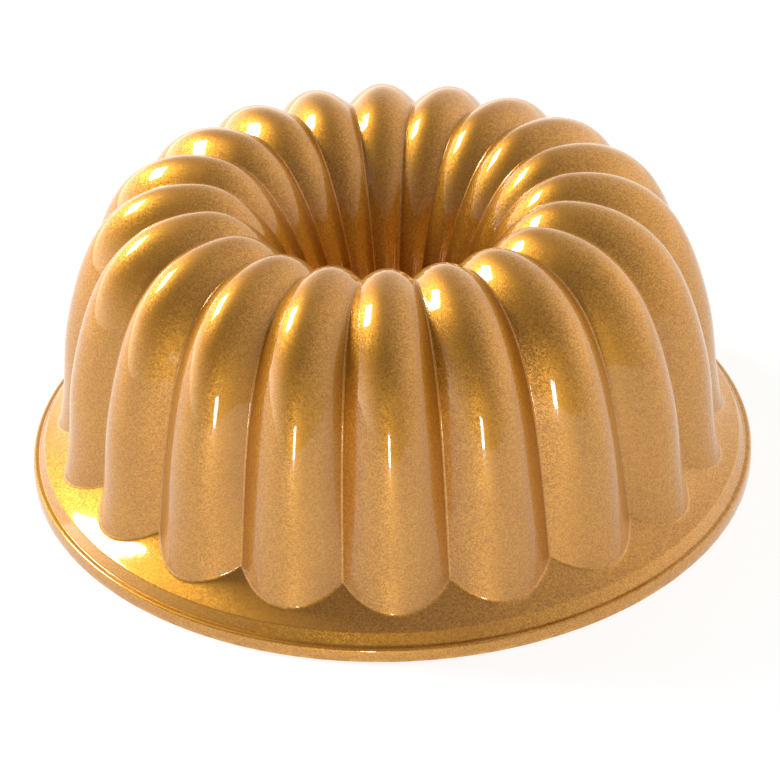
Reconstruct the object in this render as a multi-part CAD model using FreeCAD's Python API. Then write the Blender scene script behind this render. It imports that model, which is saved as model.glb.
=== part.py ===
import FreeCAD, Part
import math
import os

from FreeCAD import Vector

# Fluted ring-shaped cake pan, resting on its rim with the flutes uppermost.
# +Z is up and the axis of the pan is the Z axis. The rim stands on z = 0.
# Sizes are in millimetres and angles in degrees.

PAN_RADIUS = 131.0            # outer edge of the rim
PAN_HEIGHT = 105.6            # rim plane to the top of the flutes
FLUTE_COUNT = 20
WALL = 3.2

# Rim: a low outer lip, a step up, and a flange that rises and sweeps up to the flutes.
LIP_HEIGHT = 4.8
LIP_WIDTH = 2.5
LIP_DRAFT = 0.4
LIP_ROUND = 1.0
STEP_RUN = 2.2
STEP_HOLLOW_ROUND = 0.6
STEP_EDGE_ROUND = 1.2
FLANGE_HEIGHT = 8.6           # at the edge of the step
FLANGE_RISE = 23.2            # slope of the flange next to the step
FLANGE_RUN = 1.0              # straight part of the flange, next to the step
FLANGE_SWEEP_RADIUS = 60.0

# Valleys between the flutes: foot, crown and tube end.
FLANGE_WIDTH = 6.75           # edge of the step to the crest of a flute at its foot
VALLEY_FOOT_HEIGHT = 16.8
SHOULDER_WIDTH = 46.7         # foot of a valley to the crown circle
TUBE_RADIUS = 10.0            # valley radius at the open end of the tube
TUBE_END_HEIGHT = 3.0
WALL_LEAN = 11.2              # lean of the outer wall at its foot
TUBE_LEAN = 19.2              # lean of the tube at its end

# Fullness of the curve between those places, as shares of the gap it spans.
FOOT_FULLNESS = 0.475
SHOULDER_FULLNESS = 0.734
THROAT_FULLNESS = 0.466
TUBE_FULLNESS = 0.659

# Depth of a flute as a share of half its width, along the valley: each pair
# is the place (0 foot, 1 crown, 2 tube end) and the share there.
FLUTE_DEPTHS = [
    (0.0, 0.532), (0.3, 0.667), (0.6, 0.684), (1.0, 0.50), (1.3, 0.32), (1.6, 0.27), (2.0, 0.15)]

SHOULDER_SPLIT_HEIGHT = 78.0  # the crown is above this height
SEAM_TOLERANCE = 0.0005       # between one flute's share and the next
OUTER_STATIONS = 8
INNER_STATIONS = 10
CORE_DEPTH = 4.0              # how far a cutting body reaches behind the wall
RUN_OUT = 4.0                 # how far a cutting body runs past what it cuts

HALF_FLUTE = 180.0 / FLUTE_COUNT
HALF_ANGLE = math.radians(HALF_FLUTE)
STEP_RADIUS = PAN_RADIUS - LIP_WIDTH - STEP_RUN
FOOT_DEPTH_SHARE = dict(FLUTE_DEPTHS)[0.0]
FOOT_BULGE = FOOT_DEPTH_SHARE * math.sin(HALF_ANGLE) * math.cos(math.radians(WALL_LEAN))
FOOT_RADIUS = (STEP_RADIUS - FLANGE_WIDTH) / (math.cos(HALF_ANGLE) + FOOT_BULGE)
CROWN_RADIUS = FOOT_RADIUS - SHOULDER_WIDTH
CROWN_DEPTH_SHARE = dict(FLUTE_DEPTHS)[1.0]
CROWN_HEIGHT = PAN_HEIGHT - CROWN_DEPTH_SHARE * CROWN_RADIUS * math.sin(HALF_ANGLE)
BELOW = -3 * RUN_OUT          # bottom of every cutting body
AXIS = Vector(0, 0, 1)
ORIGIN = Vector(0, 0, 0)


# Valley path in the plane y = 0, with x as the radius.

def lean(degrees):
    """Upward direction that leans towards the axis."""
    return Vector(-math.sin(math.radians(degrees)), 0, math.cos(math.radians(degrees)))


def bezier(points):
    curve = Part.BezierCurve()
    curve.setPoles(points)
    return curve


def valley_curves():
    """The outer half, foot to crown, and the inner half, crown to tube end."""
    foot = Vector(FOOT_RADIUS, 0, VALLEY_FOOT_HEIGHT)
    crown = Vector(CROWN_RADIUS, 0, CROWN_HEIGHT)
    end = Vector(TUBE_RADIUS, 0, TUBE_END_HEIGHT)
    up_wall = lean(WALL_LEAN) * (FOOT_FULLNESS * (CROWN_HEIGHT - VALLEY_FOOT_HEIGHT))
    shoulder = Vector(SHOULDER_FULLNESS * SHOULDER_WIDTH, 0, 0)
    throat = Vector(THROAT_FULLNESS * (CROWN_RADIUS - TUBE_RADIUS), 0, 0)
    up_tube = lean(-TUBE_LEAN) * (TUBE_FULLNESS * (CROWN_HEIGHT - TUBE_END_HEIGHT))
    outer = bezier([foot, foot + up_wall, crown + shoulder, crown])
    inner = bezier([crown, crown - throat, end + up_tube, end])
    return outer, inner


def depth_share(place):
    """Flute depth as a share of half the flute's width, eased between the listed places."""
    low_place, low_share = FLUTE_DEPTHS[0]
    for high_place, high_share in FLUTE_DEPTHS[1:]:
        if place <= high_place:
            part = max(0.0, (place - low_place) / (high_place - low_place))
            eased = part * part * (3 - 2 * part)
            return low_share + (high_share - low_share) * eased
        low_place, low_share = high_place, high_share
    return high_share


class Station:
    """A cross-section of one flute, square to the valley, centred on the plane y = 0."""

    def __init__(self, point, direction, place):
        self.normal = Vector(direction.z, 0, -direction.x)
        self.half_width = point.x * math.sin(HALF_ANGLE)
        self.middle = Vector(point.x * math.cos(HALF_ANGLE), 0, point.z)
        share = depth_share(place)
        self.depth = share * self.half_width
        self.end_turn = math.atan(2 * share)

    def at(self, out, across):
        return self.middle + self.normal * out + Vector(0, across, 0)

    def side(self, depth):
        """Point at this depth below the valley, on the flute's side plane."""
        slope = self.normal.x * math.tan(HALF_ANGLE)
        step = depth / math.hypot(1, slope)
        return (-step, self.half_width - step * slope)

    def outside(self):
        """Parabola across the outside of the flute, from valley to valley."""
        left, right = self.at(0, -self.half_width), self.at(0, self.half_width)
        return [bezier([left, self.at(2 * self.depth, 0), right]).toShape()]

    def inside(self):
        """Edges across the inside: half a rounded ridge, the flute's hollow, half a ridge."""
        join = (-WALL * math.cos(self.end_turn), self.half_width - WALL * math.sin(self.end_turn))
        side = self.side(WALL)
        side_turn = math.atan2(self.half_width - side[1], -side[0])
        half_way = (side_turn + self.end_turn) / 2
        middle = (-WALL * math.cos(half_way), self.half_width - WALL * math.sin(half_way))
        left = [self.at(out, -across) for out, across in (side, middle, join)]
        right = [self.at(out, across) for out, across in (join, middle, side)]
        hollow = bezier([left[2], self.at(2 * (self.depth - WALL) - join[0], 0), right[0]])
        return [Part.Arc(*left).toShape(), hollow.toShape(), Part.Arc(*right).toShape()]

    def behind(self):
        """Straight edge behind the wall, from side plane to side plane."""
        out, across = self.side(WALL + CORE_DEPTH)
        return [Part.makeLine(self.at(out, -across), self.at(out, across))]


def stations():
    """Cross-sections from below the rim, over the crown and down past the tube's end."""
    outer, inner = valley_curves()
    foot_direction = outer.tangent(0)[0]
    end_direction = inner.tangent(1)[0]
    foot_run = (VALLEY_FOOT_HEIGHT + RUN_OUT) / foot_direction.z
    end_run = (TUBE_END_HEIGHT + RUN_OUT) / -end_direction.z
    result = []
    for share in (1.0, 0.5):
        result.append(Station(outer.value(0) - foot_direction * (foot_run * share), foot_direction, 0))
    for index in range(OUTER_STATIONS):
        t = index / OUTER_STATIONS
        result.append(Station(outer.value(t), outer.tangent(t)[0], t))
    for index in range(INNER_STATIONS + 1):
        t = index / INNER_STATIONS
        result.append(Station(inner.value(t), inner.tangent(t)[0], 1 + t))
    for share in (0.5, 1.0):
        result.append(Station(inner.value(1) + end_direction * (end_run * share), end_direction, 2))
    return result


STATIONS = stations()


# One flute's share of the pan, between its two side planes.

def closed_section(near, far):
    """Closed outline from two rows of edges across the flute."""
    right = Part.makeLine(near[-1].Vertexes[-1].Point, far[-1].Vertexes[-1].Point)
    left = Part.makeLine(far[0].Vertexes[0].Point, near[0].Vertexes[0].Point)
    return Part.Wire(near + [right] + far[::-1] + [left])


def fluted_wall():
    """Wall of one flute at full length, before it is trimmed."""
    return Part.makeLoft([closed_section(s.outside(), s.inside()) for s in STATIONS], True)


def fluted_core():
    """Cutting body from the flute's outside to behind the wall."""
    return Part.makeLoft([closed_section(s.outside(), s.behind()) for s in STATIONS], True)


def offset_corner(before, corner, after, depth):
    """The corner of an outline moved into the metal, which is on the left of its direction."""
    first = (corner - before).normalize()
    second = (after - corner).normalize()
    left = Vector(-first.z - second.z, 0, first.x + second.x)
    half_turn = first.getAngle(second) / 2
    return corner + left.normalize() * (depth / math.cos(half_turn))


def rounded(points, rounds):
    """Edges through the points, with an arc at each inner point that has a round."""
    edges = []
    start = points[0]
    for before, corner, after, size in zip(points, points[1:], points[2:], rounds):
        if size > 0:
            back = (before - corner).normalize()
            ahead = (after - corner).normalize()
            half_corner = back.getAngle(ahead) / 2
            reach = size / math.tan(half_corner)
            towards_centre = (back + ahead).normalize()
            nearest = size / math.sin(half_corner) - size
            edges.append(Part.makeLine(start, corner + back * reach))
            arc = Part.Arc(corner + back * reach, corner + towards_centre * nearest, corner + ahead * reach)
            edges.append(arc.toShape())
            start = corner + ahead * reach
        else:
            edges.append(Part.makeLine(start, corner))
            start = corner
    edges.append(Part.makeLine(start, points[-1]))
    return edges


def rim_body(depth):
    """All below the rim's upper surface at this depth, one flute wide."""
    rise = math.radians(FLANGE_RISE)
    square = Vector(math.sin(rise), 0, math.cos(rise))
    step_edge = Vector(STEP_RADIUS, 0, FLANGE_HEIGHT)
    corners = [
        Vector(PAN_RADIUS - LIP_DRAFT * BELOW / LIP_HEIGHT, 0, BELOW),
        Vector(PAN_RADIUS - LIP_DRAFT, 0, LIP_HEIGHT),
        Vector(PAN_RADIUS - LIP_WIDTH, 0, LIP_HEIGHT),
        step_edge,
        step_edge + Vector(-math.cos(rise), 0, math.sin(rise)) * FLANGE_RUN,
    ]
    moved = [corners[0] - Vector(depth, 0, 0)]
    for before, corner, after in zip(corners, corners[1:], corners[2:]):
        moved.append(offset_corner(before, corner, after, depth))
    moved.append(corners[-1] - square * depth)
    rounds = [0, 0, 0] if depth else [LIP_ROUND, STEP_HOLLOW_ROUND, STEP_EDGE_ROUND]
    edges = rounded(moved, rounds)

    inner_radius = FOOT_RADIUS - WALL - CORE_DEPTH / 2
    sweep_radius = FLANGE_SWEEP_RADIUS + depth
    centre = corners[-1] + square * FLANGE_SWEEP_RADIUS
    full_turn = math.asin((centre.x - inner_radius) / sweep_radius)
    swept = []
    for turn in ((rise + full_turn) / 2, full_turn):
        swept.append(centre - Vector(math.sin(turn), 0, math.cos(turn)) * sweep_radius)
    edges.append(Part.Arc(moved[-1], swept[0], swept[1]).toShape())

    closing = [swept[1], Vector(inner_radius, 0, BELOW), moved[0]]
    for start, end in zip(closing, closing[1:]):
        edges.append(Part.makeLine(start, end))
    face = Part.Face(Part.Wire(edges))
    face.rotate(ORIGIN, AXIS, -HALF_FLUTE)
    return face.revolve(ORIGIN, AXIS, 2 * HALF_FLUTE)


def disc(radius, bottom, top):
    return Part.makeCylinder(radius, top - bottom, Vector(0, 0, bottom), AXIS)


UNDER_FLOOR = disc(PAN_RADIUS + RUN_OUT, BELOW, 0)
UNDER_TUBE = disc(CROWN_RADIUS, BELOW, TUBE_END_HEIGHT)


def wall_share():
    """Flute wall, down to the rim's underside and the tube's end."""
    return fluted_wall().cut([rim_body(WALL), UNDER_TUBE])


def rim_share():
    """Rim, outside the flutes."""
    return rim_body(0).cut([rim_body(WALL), UNDER_FLOOR, fluted_core()])


# The whole pan, from one flute's share.

def on_side_plane(face):
    """True for a face that only parts one flute's share from the next."""
    points = [vertex.Point for vertex in face.Vertexes] + [face.CenterOfMass]
    return all(abs(abs(p.y) - p.x * math.tan(HALF_ANGLE)) < SEAM_TOLERANCE for p in points)


def all_round(share):
    """Repeat one flute's share round the axis, as a closed solid for each shell it makes."""
    faces = [face for face in share.Faces if not on_side_plane(face)]
    copies = []
    for index in range(FLUTE_COUNT):
        for face in faces:
            copy = face.copy()
            copy.rotate(ORIGIN, AXIS, 2 * HALF_FLUTE * index - 90)
            copies.append(copy)
    shell = Part.Compound(copies)
    shell.sewShape(SEAM_TOLERANCE)
    solids = [Part.Solid(closed) for closed in shell.Shells]
    for solid in solids:
        if solid.Volume < 0:
            solid.reverse()
    return solids[0] if len(solids) == 1 else Part.makeCompound(solids)


def main():
    os.makedirs("parts", exist_ok=True)
    wall = wall_share()
    rim = rim_share()
    below_shoulder = disc(PAN_RADIUS, BELOW, SHOULDER_SPLIT_HEIGHT)
    within_crown = disc(CROWN_RADIUS, BELOW, SHOULDER_SPLIT_HEIGHT)
    within_step = disc(STEP_RADIUS, BELOW, PAN_HEIGHT)
    nodes = {
        "rim_lip": rim.cut(within_step),
        "rim_flange": rim.common(within_step),
        "fluted_side_wall": wall.common(below_shoulder).cut(within_crown),
        "fluted_crown": wall.cut(below_shoulder),
        "centre_tube": wall.common(within_crown),
    }
    for name, share in nodes.items():
        all_round(share).exportStep(f"parts/{name}.step")


main()
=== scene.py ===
import math

import bmesh
import bpy
import numpy as np
from mathutils import Matrix, Vector


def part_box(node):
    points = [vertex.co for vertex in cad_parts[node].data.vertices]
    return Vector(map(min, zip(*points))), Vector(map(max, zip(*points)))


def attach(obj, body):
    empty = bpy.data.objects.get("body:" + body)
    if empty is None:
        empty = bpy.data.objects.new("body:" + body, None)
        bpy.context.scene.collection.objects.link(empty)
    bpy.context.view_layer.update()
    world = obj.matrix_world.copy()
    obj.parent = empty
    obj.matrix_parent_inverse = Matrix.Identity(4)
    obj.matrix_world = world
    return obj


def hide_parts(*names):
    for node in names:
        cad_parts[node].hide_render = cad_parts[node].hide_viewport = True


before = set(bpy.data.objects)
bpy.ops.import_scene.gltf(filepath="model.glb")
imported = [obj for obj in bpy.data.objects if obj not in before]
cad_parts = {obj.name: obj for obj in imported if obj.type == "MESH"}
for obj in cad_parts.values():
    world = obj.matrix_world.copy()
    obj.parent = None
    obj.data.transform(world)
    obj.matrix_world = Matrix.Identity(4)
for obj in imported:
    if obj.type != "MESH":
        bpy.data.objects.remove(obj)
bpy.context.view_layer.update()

# Fluted ring cake pan, resting on its rim. Lengths are in metres, and MM is a millimetre.
MM = 0.001

# The frame gives the height of the tube's open end.
TUBE_END_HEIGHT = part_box("centre_tube")[0][2]

# The pan's own sizes.
PAN_RADIUS = 131.0 * MM
PAN_HEIGHT = 105.6 * MM
FLUTE_COUNT = 20
WALL = 3.2 * MM
LIP_HEIGHT = 4.8 * MM
LIP_WIDTH = 2.5 * MM
LIP_DRAFT = 0.4 * MM
LIP_ROUND = 1.0 * MM
STEP_RUN = 2.2 * MM
STEP_HOLLOW_ROUND = 0.6 * MM
STEP_EDGE_ROUND = 1.2 * MM
INSIDE_ROUND = 0.4 * MM
END_ROUND = 0.6 * MM
FOOT_ROUND = 0.35 * MM
FLANGE_HEIGHT = 8.6 * MM
FLANGE_RISE = math.radians(23.2)
FLANGE_RUN = 1.0 * MM
FLANGE_SWEEP_RADIUS = 60.0 * MM
FLANGE_WIDTH = 6.75 * MM
VALLEY_FOOT_HEIGHT = 16.8 * MM
VALLEY_ROUND = 0.75 * MM
JUNCTION_REACH = 1.0 * MM
SHOULDER_WIDTH = 46.7 * MM
TUBE_RADIUS = 10.0 * MM
WALL_LEAN = math.radians(11.2)
TUBE_LEAN = math.radians(19.2)
FOOT_FULLNESS = 0.475
SHOULDER_FULLNESS = 0.734
THROAT_FULLNESS = 0.466
TUBE_FULLNESS = 0.659
DEPTH_PLACES = [0.0, 0.3, 0.6, 1.0, 1.3, 1.6, 2.0]
DEPTH_SHARES = [0.532, 0.667, 0.684, 0.50, 0.32, 0.27, 0.15]

HALF_ANGLE = math.pi / FLUTE_COUNT
STEP_RADIUS = PAN_RADIUS - LIP_WIDTH - STEP_RUN
FOOT_BULGE = DEPTH_SHARES[0] * math.sin(HALF_ANGLE) * math.cos(WALL_LEAN)
FOOT_RADIUS = (STEP_RADIUS - FLANGE_WIDTH) / (math.cos(HALF_ANGLE) + FOOT_BULGE)
CROWN_RADIUS = FOOT_RADIUS - SHOULDER_WIDTH
CROWN_DEPTH_SHARE = DEPTH_SHARES[DEPTH_PLACES.index(1.0)]
CROWN_HEIGHT = PAN_HEIGHT - CROWN_DEPTH_SHARE * CROWN_RADIUS * math.sin(HALF_ANGLE)
SQUARE = Vector((math.sin(FLANGE_RISE), math.cos(FLANGE_RISE)))
STEP_EDGE = Vector((STEP_RADIUS, FLANGE_HEIGHT))
SWEEP_START = STEP_EDGE + Vector((-SQUARE.y, SQUARE.x)) * FLANGE_RUN
SWEEP_CENTRE = SWEEP_START + SQUARE * FLANGE_SWEEP_RADIUS

# Mesh fineness.
CREST_STEPS = 7
VALLEY_STEPS = 3
FLUTE_ROWS = 96
JUNCTION_ROWS = 6
FLANGE_ROWS = 9
ROUND_STEPS = 4
BACK_STRIDE = 4
SHARP_ANGLE = math.radians(50)
WALL_SAMPLES = 400
FLANGE_SAMPLES = 60
JUNCTION_SHARE = 0.6          # most of the flange's run that its blend into a flute may take
FOOT_SEARCH = (-0.2, 0.4)     # places along the valley between which a flute meets the flange
END_SEARCH = (1.9, 2.1)       # and between which it meets the tube's end
PLACE_HALVINGS = 50
FILLET_HALVINGS = 40

# Looks.
FLAKE_SCALE = 2600.0
FLAKE_TIP = 0.16
GOLD_DARK = (0.43, 0.182, 0.014, 1)
GOLD_LIGHT = (0.67, 0.328, 0.038, 1)
GOLD_DRIFT = (0.95, 0.93, 0.90, 1)
GOLD_WORN = (0.74, 0.42, 0.10, 1)
GOLD_ROUGHNESS = 0.48
GOLD_ROUGHNESS_BELOW = 0.03
GOLD_ROUGHNESS_ABOVE = 0.04
RIM_WEAR_HEIGHT = 1.6 * MM
COAT_ROUGHNESS = 0.07
COAT_IOR = 1.65
RIPPLE_SCALE = 420.0
COAT_RIPPLE_STRENGTH = 0.12
COAT_RIPPLE_DISTANCE = 0.1 * MM
RELEASE_DARK = (0.24, 0.17, 0.10, 1)
RELEASE_LIGHT = (0.30, 0.22, 0.13, 1)
RELEASE_METALLIC = 0.6
RELEASE_SMOOTHEST = 0.42
RELEASE_ROUGHEST = 0.52
CAST_GRAIN_SCALE = 2600.0
CAST_GRAIN_STRENGTH = 0.25
CAST_GRAIN_DISTANCE = 0.2 * MM
FLOOR_LOW = (0.34, 0.345, 0.35, 1)
FLOOR_HIGH = (0.355, 0.355, 0.36, 1)
FLOOR_HALF = 3.0
FLOOR_GLOW = 2.2
ROOM_COLOUR = (1.0, 0.93, 0.80, 1)
ROOM_DIM = 0.20
ROOM_RIGHT = 1.35
HORIZON_GLOW = 4.0
HORIZON_NARROWNESS = 4.0
LEFT_BACK_WAY = (-0.9, 0.43, 0)
LEFT_BACK_NARROWNESS = 3.0
RIGHT_WAY = (0.94, 0.34, 0)
RIGHT_NARROWNESS = 2.5
CAMERA_LENS = 111.78
CAMERA_PITCH = 32.794
CAMERA_ROLL = -1.697
CAMERA_PLACE = (-0.2 * MM, -739.7 * MM, 496.7 * MM)


# ---- The valley path and the flutes across it --------------------------------

def bezier(points, t):
    """Points and unit directions along a cubic curve, as (n, 2) arrays of radius and height."""
    a, b, c, d = (np.array(p)[None] for p in points)
    t = t[:, None]
    s = 1 - t
    place = s ** 3 * a + 3 * s * s * t * b + 3 * s * t * t * c + t ** 3 * d
    slope = s * s * (b - a) + 2 * s * t * (c - b) + t * t * (d - c)
    return place, slope / np.linalg.norm(slope, axis=1, keepdims=True)


def valley(place):
    """The valley path: 0 is its foot, 1 the crown and 2 the tube's end. It runs straight past both ends."""
    foot = (FOOT_RADIUS, VALLEY_FOOT_HEIGHT)
    crown = (CROWN_RADIUS, CROWN_HEIGHT)
    end = (TUBE_RADIUS, TUBE_END_HEIGHT)
    rise = FOOT_FULLNESS * (CROWN_HEIGHT - VALLEY_FOOT_HEIGHT)
    fall = TUBE_FULLNESS * (CROWN_HEIGHT - TUBE_END_HEIGHT)
    outer = [
        foot,
        (foot[0] - rise * math.sin(WALL_LEAN), foot[1] + rise * math.cos(WALL_LEAN)),
        (crown[0] + SHOULDER_FULLNESS * SHOULDER_WIDTH, crown[1]),
        crown]
    inner = [
        crown,
        (crown[0] - THROAT_FULLNESS * (CROWN_RADIUS - TUBE_RADIUS), crown[1]),
        (end[0] + fall * math.sin(TUBE_LEAN), end[1] + fall * math.cos(TUBE_LEAN)),
        end]
    first, first_way = bezier(outer, np.clip(place, 0, 1))
    second, second_way = bezier(inner, np.clip(place - 1, 0, 1))
    on_outer = (place <= 1)[:, None]
    path = np.where(on_outer, first, second)
    way = np.where(on_outer, first_way, second_way)
    path += way * (np.minimum(place, 0) * 3 * rise)[:, None]
    path += way * (np.maximum(place - 2, 0) * 3 * fall)[:, None]
    return path, way


def depth_share(place):
    """Flute depth as a share of half its width, eased between the listed places."""
    index = np.clip(np.searchsorted(DEPTH_PLACES, place) - 1, 0, len(DEPTH_PLACES) - 2)
    low, high = np.array(DEPTH_PLACES)[index], np.array(DEPTH_PLACES)[index + 1]
    part = np.clip((place - low) / (high - low), 0, 1)
    part = part * part * (3 - 2 * part)
    shares = np.array(DEPTH_SHARES)
    return shares[index] + (shares[index + 1] - shares[index]) * part


def flute_points(place, across, inside):
    """Points of one flute centred on +X. across runs from -1 to 1, and past half its range it turns round
    the valley, or on the inside round the ridge."""
    path, way = valley(place)
    share = depth_share(place)
    half_width = path[:, 0] * math.sin(HALF_ANGLE)
    depth = share * half_width
    normal = np.stack([way[:, 1], -way[:, 0]], -1)
    slope = normal[:, 0] * math.tan(HALF_ANGLE)
    if inside:
        small = WALL
        turn = np.arctan(2 * share)
        centre_out, centre_across = 0 * depth, half_width
        crest = depth - WALL
    else:
        small = VALLEY_ROUND
        low, high = half_width - 3 * small, half_width
        for _ in range(FILLET_HALVINGS):
            touch = (low + high) / 2
            turn = np.arctan(2 * depth * touch / half_width ** 2)
            centre_out = depth * (1 - (touch / half_width) ** 2) + small * np.cos(turn)
            centre_across = touch + small * np.sin(turn)
            beyond = centre_across > half_width + centre_out * slope
            low, high = np.where(beyond, low, touch), np.where(beyond, touch, high)
        crest = depth
    join_out = centre_out - small * np.cos(turn)
    join_across = centre_across - small * np.sin(turn)
    part = np.abs(across)
    crest_part = np.minimum(part / 0.5, 1)
    round_part = np.maximum(part / 0.5 - 1, 0)
    round_turn = turn + (np.arctan(slope) - turn) * round_part
    in_round = part > 0.5
    out = crest + (join_out - crest) * crest_part ** 2
    out = np.where(in_round, centre_out - small * np.cos(round_turn), out)
    side = np.where(in_round, centre_across - small * np.sin(round_turn), join_across * crest_part)
    x = path[:, 0] * math.cos(HALF_ANGLE) + normal[:, 0] * out
    z = path[:, 1] + normal[:, 1] * out
    return np.stack([x, side * np.sign(across), z], -1)


def flange_height(radius, depth):
    """Height of the flange's upper surface, or of its underside at the wall's depth."""
    run = SWEEP_CENTRE.x - radius
    return SWEEP_CENTRE.y - np.sqrt((FLANGE_SWEEP_RADIUS + depth) ** 2 - run ** 2)


# ---- The rim's profile -------------------------------------------------------

def moved_corner(before, corner, after, depth):
    """An outline's corner moved into the metal."""
    first = (corner - before).normalized()
    second = (after - corner).normalized()
    left = Vector((-first.y - second.y, first.x + second.x)).normalized()
    return corner + left * (depth / math.cos(first.angle(second) / 2))


def rounded(points, rounds):
    """Points of an outline with an arc at each of its inner corners."""
    result = [points[0]]
    for before, corner, after, size in zip(points, points[1:], points[2:], rounds):
        back = (before - corner).normalized()
        ahead = (after - corner).normalized()
        half = back.angle(ahead) / 2
        reach = size / math.tan(half)
        centre = corner + (back + ahead).normalized() * (size / math.sin(half))
        start = corner + back * reach - centre
        finish = corner + ahead * reach - centre
        total = start.angle(finish)
        for step in range(ROUND_STEPS + 1):
            part = step / ROUND_STEPS
            mix = (start * math.sin((1 - part) * total) + finish * math.sin(part * total)) / math.sin(total)
            result.append(centre + mix)
    result.append(points[-1])
    return result


def rim_profile(depth):
    """Rim outline from its foot on the floor to the flange, as (radius, height) points."""
    corners = [
        Vector((PAN_RADIUS, 0)),
        Vector((PAN_RADIUS - LIP_DRAFT, LIP_HEIGHT)),
        Vector((PAN_RADIUS - LIP_WIDTH, LIP_HEIGHT)),
        STEP_EDGE,
        SWEEP_START]
    moved = [corners[0] - Vector((depth, 0))]
    for before, corner, after in zip(corners, corners[1:], corners[2:]):
        moved.append(moved_corner(before, corner, after, depth))
    moved.append(corners[-1] - SQUARE * depth)
    rounds = [INSIDE_ROUND] * 3 if depth else [LIP_ROUND, STEP_HOLLOW_ROUND, STEP_EDGE_ROUND]
    middle = Vector((PAN_RADIUS - WALL / 2, 0))
    return rounded([middle] + moved, [FOOT_ROUND] + rounds)[:-1]


# ---- Half of the wall as one closed mesh -------------------------------------

def smooth_path(points, count):
    """The path through the points, resampled to evenly spaced points."""
    steps = np.linalg.norm(np.diff(points, axis=0), axis=1)
    length = np.concatenate([[0], np.cumsum(steps)])
    wanted = np.linspace(0, length[-1], count)
    return np.stack([np.interp(wanted, length, points[:, i]) for i in range(3)], -1)


def find_place(low, high, across, inside, above):
    """Place along the valley where a line of the flute reaches the surface that above tells of."""
    for _ in range(PLACE_HALVINGS):
        middle = (low + high) / 2
        point = flute_points(np.array([middle]), np.array([across]), inside)[0]
        if above(point):
            high = middle
        else:
            low = middle
    return (low + high) / 2


def column(across, inside):
    """One line of points from the rim's foot over the crown to the tube's end, on a flute centred on +X."""
    depth = WALL if inside else 0

    def over_flange(point):
        return point[2] > flange_height(math.hypot(point[0], point[1]), depth)

    def past_end(point):
        return point[2] < TUBE_END_HEIGHT + END_ROUND

    start = find_place(*FOOT_SEARCH, across, inside, over_flange)
    end = find_place(*END_SEARCH, across, inside, past_end)
    places = np.linspace(start, end, WALL_SAMPLES)
    wall = flute_points(places, np.full(WALL_SAMPLES, across), inside)
    turn = math.atan2(wall[0][1], wall[0][0])
    outline = rim_profile(depth)
    flange_end = outline[-1].x
    flange_start = math.hypot(wall[0][0], wall[0][1])
    radii = np.linspace(flange_end, flange_start, FLANGE_SAMPLES)
    flange = np.stack([radii * math.cos(turn), radii * math.sin(turn), flange_height(radii, depth)], -1)
    rim = np.array([(p.x * math.cos(turn), p.x * math.sin(turn), p.y) for p in outline[:-1]])

    wall_run = np.concatenate([[0], np.cumsum(np.linalg.norm(np.diff(wall, axis=0), axis=1))])
    flange_run = np.linalg.norm(flange - flange[-1], axis=1)
    reach = min(JUNCTION_REACH, flange_run[0] * JUNCTION_SHARE)
    on_wall = np.array([np.interp(reach, wall_run, wall[:, i]) for i in range(3)])
    on_flange = np.array([np.interp(reach, flange_run[::-1], flange[::-1, i]) for i in range(3)])
    t = np.linspace(0, 1, JUNCTION_ROWS + 2)[1:-1, None]
    junction = (1 - t) ** 2 * on_flange + 2 * t * (1 - t) * wall[0] + t * t * on_wall
    wall = smooth_path(np.vstack([on_wall, wall[wall_run > reach]]), FLUTE_ROWS)
    flange = smooth_path(np.vstack([flange[flange_run > reach], on_flange]), FLANGE_ROWS)
    return np.vstack([rim, flange, junction, wall])


def all_columns(inside):
    """Grid of points round the whole pan: (columns, rows, 3), with a flute centred on -Y."""
    crest = np.linspace(-0.5, 0.5, 2 * CREST_STEPS + 1)
    valley_turn = 0.5 + 0.5 * np.arange(1, VALLEY_STEPS + 1) / VALLEY_STEPS
    across = np.concatenate([-valley_turn[-2::-1], crest, valley_turn])
    one = np.array([column(a, inside) for a in across])
    columns = []
    for index in range(FLUTE_COUNT):
        turn = 2 * HALF_ANGLE * index - math.pi / 2
        spin = np.array([
            [math.cos(turn), -math.sin(turn), 0], [math.sin(turn), math.cos(turn), 0], [0, 0, 1]])
        columns.append(one @ spin.T)
    return np.concatenate(columns)


def metal_side(grid, inside):
    """Unit vectors into the metal from each point of a grid that closes on itself."""
    along = np.gradient(grid, axis=1)
    around = np.roll(grid, -1, axis=0) - np.roll(grid, 1, axis=0)
    normal = np.cross(around, along)
    normal /= np.linalg.norm(normal, axis=2, keepdims=True)
    row = grid.shape[1] - FLUTE_ROWS
    outward = (normal[:, row] * grid[:, row])[:, :2].sum()
    return normal * (math.copysign(1, outward) * (1 if inside else -1))


def end_rows(grid, inside):
    """Rows that round the tube's end and cross it to the middle of the wall."""
    last = grid[:, -1]
    radial = last * (1, 1, 0)
    radial /= np.linalg.norm(radial, axis=1, keepdims=True)
    if inside:
        radial = -radial
    rows = []
    for step in range(1, ROUND_STEPS + 1):
        turn = math.pi / 2 * step / ROUND_STEPS
        rows.append(last + radial * END_ROUND * (1 - math.cos(turn)) - [0, 0, END_ROUND * math.sin(turn)])
    rows.append(rows[-1] + radial * (WALL / 2 - END_ROUND))
    return np.stack(rows, axis=1)


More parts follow.
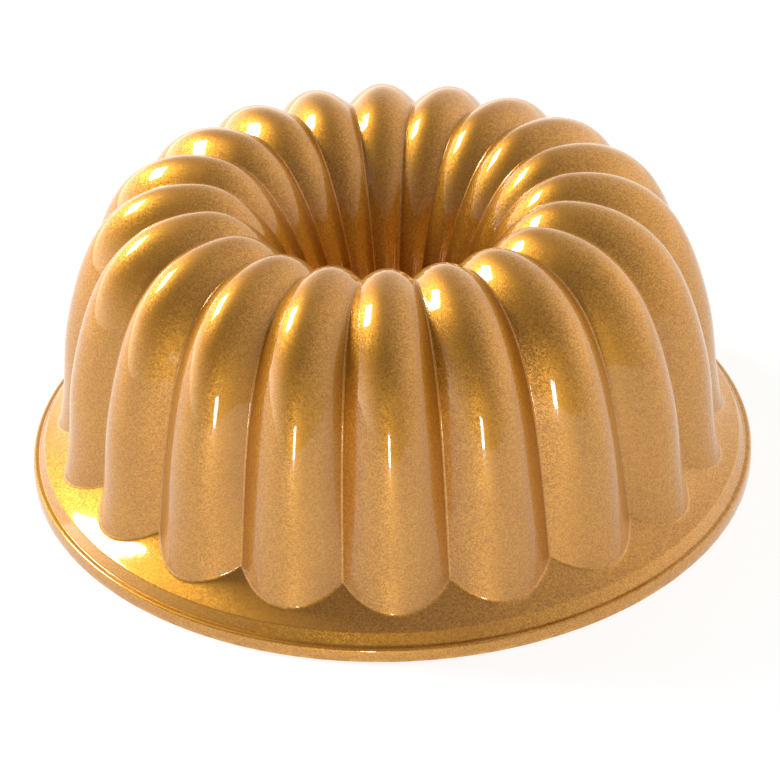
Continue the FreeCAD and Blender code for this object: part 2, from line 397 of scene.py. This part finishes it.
def half_wall(name, inside, material):
    """Closed mesh of the outer or inner half of the wall."""
    front = all_columns(inside)
    end = end_rows(front, inside)
    rim_rows = len(rim_profile(0)) + FLANGE_ROWS + JUNCTION_ROWS
    rows = list(range(ROUND_STEPS + 1, rim_rows)) + list(range(rim_rows, front.shape[1], BACK_STRIDE))
    back = (front + metal_side(front, inside) * (WALL / 2))[:, rows]
    grid = np.concatenate([front, end, back[:, ::-1]], axis=1)
    columns, count = grid.shape[:2]
    index = np.arange(columns * count).reshape(columns, count)
    ahead = np.roll(index, -1, axis=0)
    faces = np.stack([index, np.roll(index, -1, axis=1), np.roll(ahead, -1, axis=1), ahead], -1)
    mesh = bpy.data.meshes.new(name)
    mesh.from_pydata(grid.reshape(-1, 3).tolist(), [], faces.reshape(-1, 4).tolist())
    shape = bmesh.new()
    shape.from_mesh(mesh)
    bmesh.ops.recalc_face_normals(shape, faces=shape.faces)
    shape.to_mesh(mesh)
    shape.free()
    mesh.polygons.foreach_set("use_smooth", [True] * len(mesh.polygons))
    mesh.set_sharp_from_angle(angle=SHARP_ANGLE)
    mesh.materials.append(material)
    piece = bpy.data.objects.new(name, mesh)
    bpy.context.scene.collection.objects.link(piece)
    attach(piece, "root")
    return piece


# ---- Materials ---------------------------------------------------------------

class Nodes:
    """A material's node tree, with short ways to add and link nodes."""

    def __init__(self, name):
        self.material = bpy.data.materials.new(name)
        self.material.use_nodes = True
        self.tree = self.material.node_tree
        self.shader = self.tree.nodes["Principled BSDF"]

    def add(self, kind, inputs=None, **settings):
        node = self.tree.nodes.new("ShaderNode" + kind)
        for key, value in settings.items():
            setattr(node, key, value)
        for key, value in (inputs or {}).items():
            if isinstance(value, bpy.types.NodeSocket):
                self.tree.links.new(value, node.inputs[key])
            else:
                node.inputs[key].default_value = value
        return node

    def noise(self, scale, detail=2.0):
        place = self.add("TexCoord").outputs["Object"]
        return self.add("TexNoise", {"Vector": place, "Scale": scale, "Detail": detail}).outputs["Fac"]

    def map(self, value, low, high, to_low, to_high):
        inputs = {"Value": value, "From Min": low, "From Max": high, "To Min": to_low, "To Max": to_high}
        return self.add("MapRange", inputs).outputs["Result"]

    def mix(self, factor, first, second, blend="MIX"):
        node = self.add("Mix", data_type="RGBA", blend_type=blend)
        for key, value in ((0, factor), (6, first), (7, second)):
            if isinstance(value, bpy.types.NodeSocket):
                self.tree.links.new(value, node.inputs[key])
            else:
                node.inputs[key].default_value = value
        return node.outputs[2]

    def set(self, **values):
        for key, value in values.items():
            socket = self.shader.inputs[key.replace("_", " ")]
            if isinstance(value, bpy.types.NodeSocket):
                self.tree.links.new(value, socket)
            else:
                socket.default_value = value


def flake_normal(nodes, scale, amount):
    """The surface normal, tipped a little at random in each flake."""
    place = nodes.add("TexCoord").outputs["Object"]
    flakes = nodes.add("TexVoronoi", {"Vector": place, "Scale": scale})
    centred = nodes.add("VectorMath", {0: flakes.outputs["Color"], 1: (0.5, 0.5, 0.5)}, operation="SUBTRACT")
    tip = nodes.add("VectorMath", {0: centred.outputs[0], "Scale": amount}, operation="SCALE")
    normal = nodes.add("NewGeometry").outputs["Normal"]
    tipped = nodes.add("VectorMath", {0: normal, 1: tip.outputs[0]}, operation="ADD")
    return nodes.add("VectorMath", {0: tipped.outputs[0]}, operation="NORMALIZE").outputs[0]


def gold_material():
    """Sprayed metallic gold with fine flakes under a clear coat, worn along the rim's resting edge."""
    nodes = Nodes("gold_finish")
    place = nodes.add("TexCoord").outputs["Object"]
    flakes = nodes.add("TexVoronoi", {"Vector": place, "Scale": FLAKE_SCALE})
    grain = nodes.add("SeparateColor", {"Color": flakes.outputs["Color"]}).outputs["Red"]
    colour = nodes.mix(grain, GOLD_DARK, GOLD_LIGHT)
    drift = nodes.map(nodes.noise(18.0, 3.0), 0.35, 0.65, 0.0, 1.0)
    colour = nodes.mix(drift, colour, nodes.mix(1.0, colour, GOLD_DRIFT, "MULTIPLY"))
    height = nodes.add("SeparateXYZ", {0: place}).outputs["Z"]
    near_edge = nodes.map(height, 0.0, RIM_WEAR_HEIGHT, 1.0, 0.0)
    patchy = nodes.map(nodes.noise(220.0, 4.0), 0.42, 0.60, 0.0, 1.0)
    worn = nodes.add("Math", {0: near_edge, 1: patchy}, operation="MULTIPLY").outputs[0]
    colour = nodes.mix(worn, colour, GOLD_WORN)
    rough = nodes.map(nodes.noise(60.0, 4.0), 0.3, 0.7,
                      GOLD_ROUGHNESS - GOLD_ROUGHNESS_BELOW, GOLD_ROUGHNESS + GOLD_ROUGHNESS_ABOVE)
    ripple = nodes.add("Bump", {
        "Height": nodes.noise(RIPPLE_SCALE, 1.0),
        "Strength": COAT_RIPPLE_STRENGTH, "Distance": COAT_RIPPLE_DISTANCE})
    nodes.set(Base_Color=colour, Metallic=1.0, Roughness=rough,
              Normal=flake_normal(nodes, FLAKE_SCALE, FLAKE_TIP),
              Coat_Weight=1.0, Coat_Roughness=COAT_ROUGHNESS, Coat_IOR=COAT_IOR,
              Coat_Normal=ripple.outputs["Normal"])
    return nodes.material


def release_material():
    """Satin release coat on the baking side, duller than the outside, over a fine cast grain."""
    nodes = Nodes("release_coat")
    drift = nodes.map(nodes.noise(25.0, 3.0), 0.35, 0.65, 0.0, 1.0)
    colour = nodes.mix(drift, RELEASE_DARK, RELEASE_LIGHT)
    rough = nodes.map(nodes.noise(90.0, 4.0), 0.3, 0.7, RELEASE_SMOOTHEST, RELEASE_ROUGHEST)
    bump = nodes.add("Bump", {
        "Height": nodes.noise(CAST_GRAIN_SCALE, 2.0),
        "Strength": CAST_GRAIN_STRENGTH, "Distance": CAST_GRAIN_DISTANCE})
    nodes.set(Base_Color=colour, Metallic=RELEASE_METALLIC, Roughness=rough, Normal=bump.outputs["Normal"])
    return nodes.material


def floor_material():
    nodes = Nodes("pale_floor")
    tone = nodes.map(nodes.noise(3.0, 2.0), 0.3, 0.7, 0.0, 1.0)
    colour = nodes.mix(tone, FLOOR_LOW, FLOOR_HIGH)
    nodes.set(Base_Color=colour, Roughness=0.7, Emission_Color=colour, Emission_Strength=FLOOR_GLOW)
    return nodes.material


# ---- Studio ------------------------------------------------------------------

def add_floor():
    mesh = bpy.data.meshes.new("studio_floor")
    corners = [(x, y, 0) for x, y in ((-1, -1), (1, -1), (1, 1), (-1, 1))]
    mesh.from_pydata([tuple(FLOOR_HALF * v for v in corner) for corner in corners], [], [(0, 1, 2, 3)])
    mesh.materials.append(floor_material())
    piece = bpy.data.objects.new("studio_floor", mesh)
    bpy.context.scene.collection.objects.link(piece)


def add_light(name, azimuth, elevation, distance, width, height, power):
    """Soft box that faces the pan. Azimuth 0 is on the camera's side, and 90 is on the right."""
    lamp = bpy.data.lights.new(name, "AREA")
    lamp.shape = "RECTANGLE"
    lamp.size, lamp.size_y = width, height
    lamp.energy = power
    turn, lift = math.radians(azimuth), math.radians(elevation)
    way = Vector((math.sin(turn) * math.cos(lift), -math.cos(turn) * math.cos(lift), math.sin(lift)))
    piece = bpy.data.objects.new(name, lamp)
    piece.location = way * distance + LIGHT_AIM
    piece.rotation_euler = way.to_track_quat("Z", "Y").to_euler()
    bpy.context.scene.collection.objects.link(piece)


def add_world():
    """Dim room, darkest overhead and behind the camera, with a pale glow along the horizon that is
    brightest on the left and behind the pan."""
    world = bpy.data.worlds.new("studio")
    world.use_nodes = True
    tree = world.node_tree

    def math_node(operation, *values):
        node = tree.nodes.new("ShaderNodeMath")
        node.operation = operation
        for index, value in enumerate(values):
            if isinstance(value, bpy.types.NodeSocket):
                tree.links.new(value, node.inputs[index])
            else:
                node.inputs[index].default_value = value
        return node.outputs[0]

    def towards(way):
        """How far a direction points this way, from 0 to 1."""
        node = tree.nodes.new("ShaderNodeVectorMath")
        node.operation = "DOT_PRODUCT"
        tree.links.new(direction, node.inputs[0])
        node.inputs[1].default_value = way
        return math_node("MULTIPLY_ADD", node.outputs["Value"], 0.5, 0.5)

    direction = tree.nodes.new("ShaderNodeTexCoord").outputs["Generated"]
    split = tree.nodes.new("ShaderNodeSeparateXYZ")
    tree.links.new(direction, split.inputs[0])
    low = math_node("POWER", math_node("SUBTRACT", 1.0, math_node("ABSOLUTE", split.outputs["Z"])),
                    HORIZON_NARROWNESS)
    left_back = math_node("POWER", towards(LEFT_BACK_WAY), LEFT_BACK_NARROWNESS)
    right = math_node("POWER", towards(RIGHT_WAY), RIGHT_NARROWNESS)
    glow = math_node("MULTIPLY", low, math_node("MULTIPLY", left_back, HORIZON_GLOW))
    total = math_node("ADD", glow, math_node("MULTIPLY_ADD", right, ROOM_RIGHT, ROOM_DIM))
    back = tree.nodes["Background"]
    back.inputs["Color"].default_value = ROOM_COLOUR
    tree.links.new(total, back.inputs["Strength"])
    bpy.context.scene.world = world


def add_camera():
    lens = bpy.data.cameras.new("camera")
    lens.sensor_width = 36.0
    lens.lens = CAMERA_LENS
    lens.clip_end = 20.0
    pitch, roll = math.radians(CAMERA_PITCH), math.radians(CAMERA_ROLL)
    right = Vector((1, 0, 0))
    up = Vector((0, math.sin(pitch), math.cos(pitch)))
    back = right.cross(up)
    turned_right = right * math.cos(roll) + up * math.sin(roll)
    turned_up = up * math.cos(roll) - right * math.sin(roll)
    piece = bpy.data.objects.new("camera", lens)
    matrix = Matrix((turned_right, turned_up, back)).transposed().to_4x4()
    matrix.translation = CAMERA_PLACE
    piece.matrix_world = matrix
    bpy.context.scene.collection.objects.link(piece)
    bpy.context.scene.camera = piece


LIGHT_AIM = Vector((0, 0, PAN_HEIGHT / 2))

outside = half_wall("gold_outer_wall", False, gold_material())
inside = half_wall("release_inner_wall", True, release_material())
for piece in (outside, inside):
    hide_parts("rim_lip", "rim_flange", "fluted_side_wall", "fluted_crown", "centre_tube")

add_floor()
add_world()
add_light("key_soft_box", -118, 38, 1.2, 0.42, 0.24, 10.0)
add_light("front_strip", -8, 3, 1.3, 0.09, 0.20, 2.4)
add_camera()
bpy.context.scene.view_settings.view_transform = "Standard"
